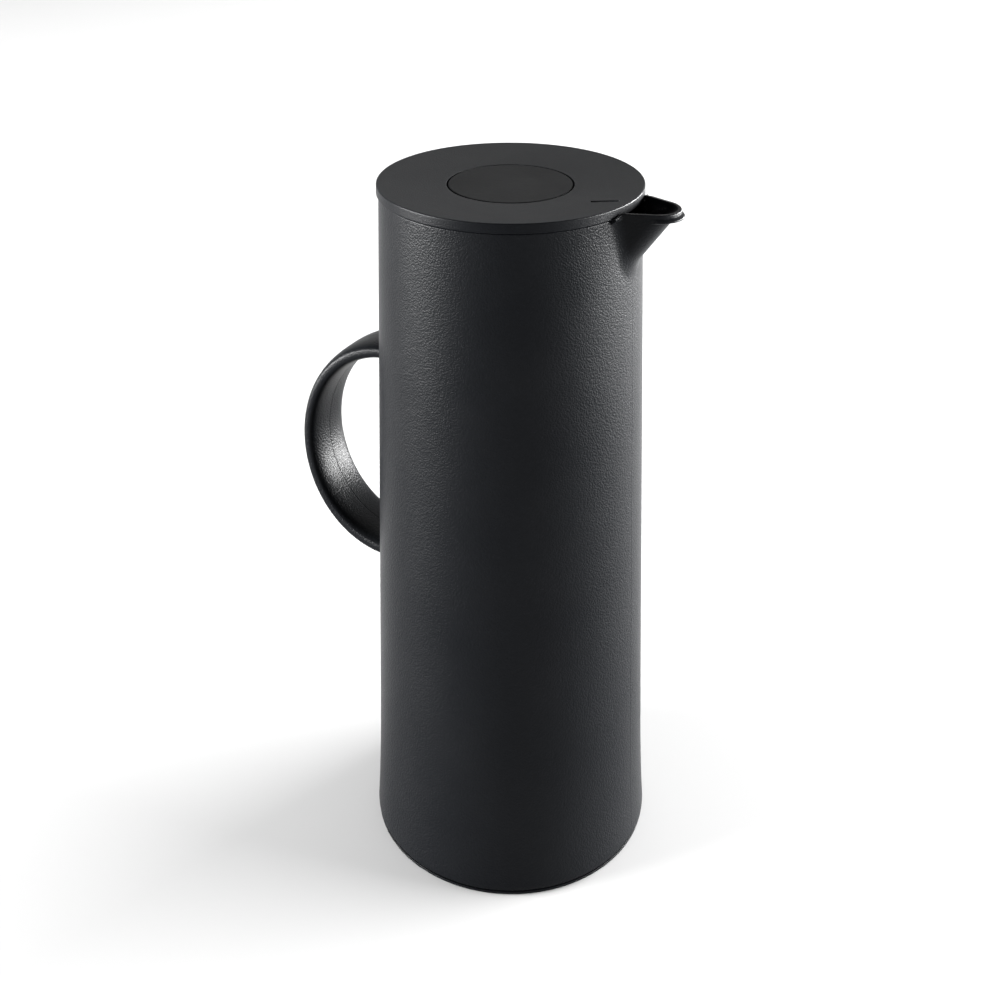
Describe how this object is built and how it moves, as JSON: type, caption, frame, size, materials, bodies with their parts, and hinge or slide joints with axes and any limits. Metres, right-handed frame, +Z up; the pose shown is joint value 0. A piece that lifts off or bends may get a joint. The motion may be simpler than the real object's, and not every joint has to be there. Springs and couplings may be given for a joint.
{
  "type": "thermal carafe",
  "caption": "Tall cylindrical vacuum jug with open spout, ring-shaped band handle and screw lid whose sprung push button opens a pour valve.",
  "frame": {"origin": "where the jug's axis meets the table, in the middle of the foot pad's underside", "axes": "+Z up along the jug's axis, +X out of the spout, handle towards -X"},
  "size_m": [0.1752, 0.113, 0.2575],
  "materials": {
    "shell_plastic": "fine leather grain, matt",
    "lid_plastic": "fine grain, satin",
    "button_plastic": "fine grain, satin",
    "inner_plastic": "smooth, satin",
    "flask_steel": "brushed round the axis",
    "spring_steel": "drawn wire",
    "seal_rubber": "grey silicone, matt",
    "foot_rubber": "black, matt"
  },
  "bodies": {
    "jug": {"outer_shell": "shell_plastic", "neck_collar": "inner_plastic", "collar_gasket": "seal_rubber", "flask_inner": "flask_steel", "flask_outer": "flask_steel", "flask_bottom": "flask_steel", "flask_cushion": "foot_rubber", "base_cap": "shell_plastic", "base_seal": "foot_rubber", "foot_pad": "foot_rubber"},
    "seal": {"stopper_seal": "seal_rubber"},
    "lid": {"lid_cover": "lid_plastic", "stopper_body": "inner_plastic", "stem_seal": "seal_rubber", "button_spring": "spring_steel"},
    "valve": {"push_button": "button_plastic", "valve_stem": "spring_steel", "valve_head": "inner_plastic", "valve_seal": "seal_rubber", "stem_clip": "spring_steel"}
  },
  "joints": [
    {"name": "lid_rise", "type": "slide", "parent": "jug", "child": "seal", "axis": [0, 0, 1], "range_m": [0, 0.0135]},
    {"name": "lid_turn", "type": "hinge", "parent": "seal", "child": "lid", "pos_m": [0, 0, 0.221], "axis": [0, 0, 1], "range_deg": [0, 540]},
    {"name": "button_press", "type": "slide", "parent": "lid", "child": "valve", "axis": [0, 0, -1], "range_m": [0, 0.0045], "stiffness_N_per_m": 400, "springref_m": -0.003, "deforming": ["button_spring"]}
  ],
  "couplings": [
    {"joint": "lid_rise", "follows": "lid_turn", "m_per_rad": 0.0014324}
  ]
}
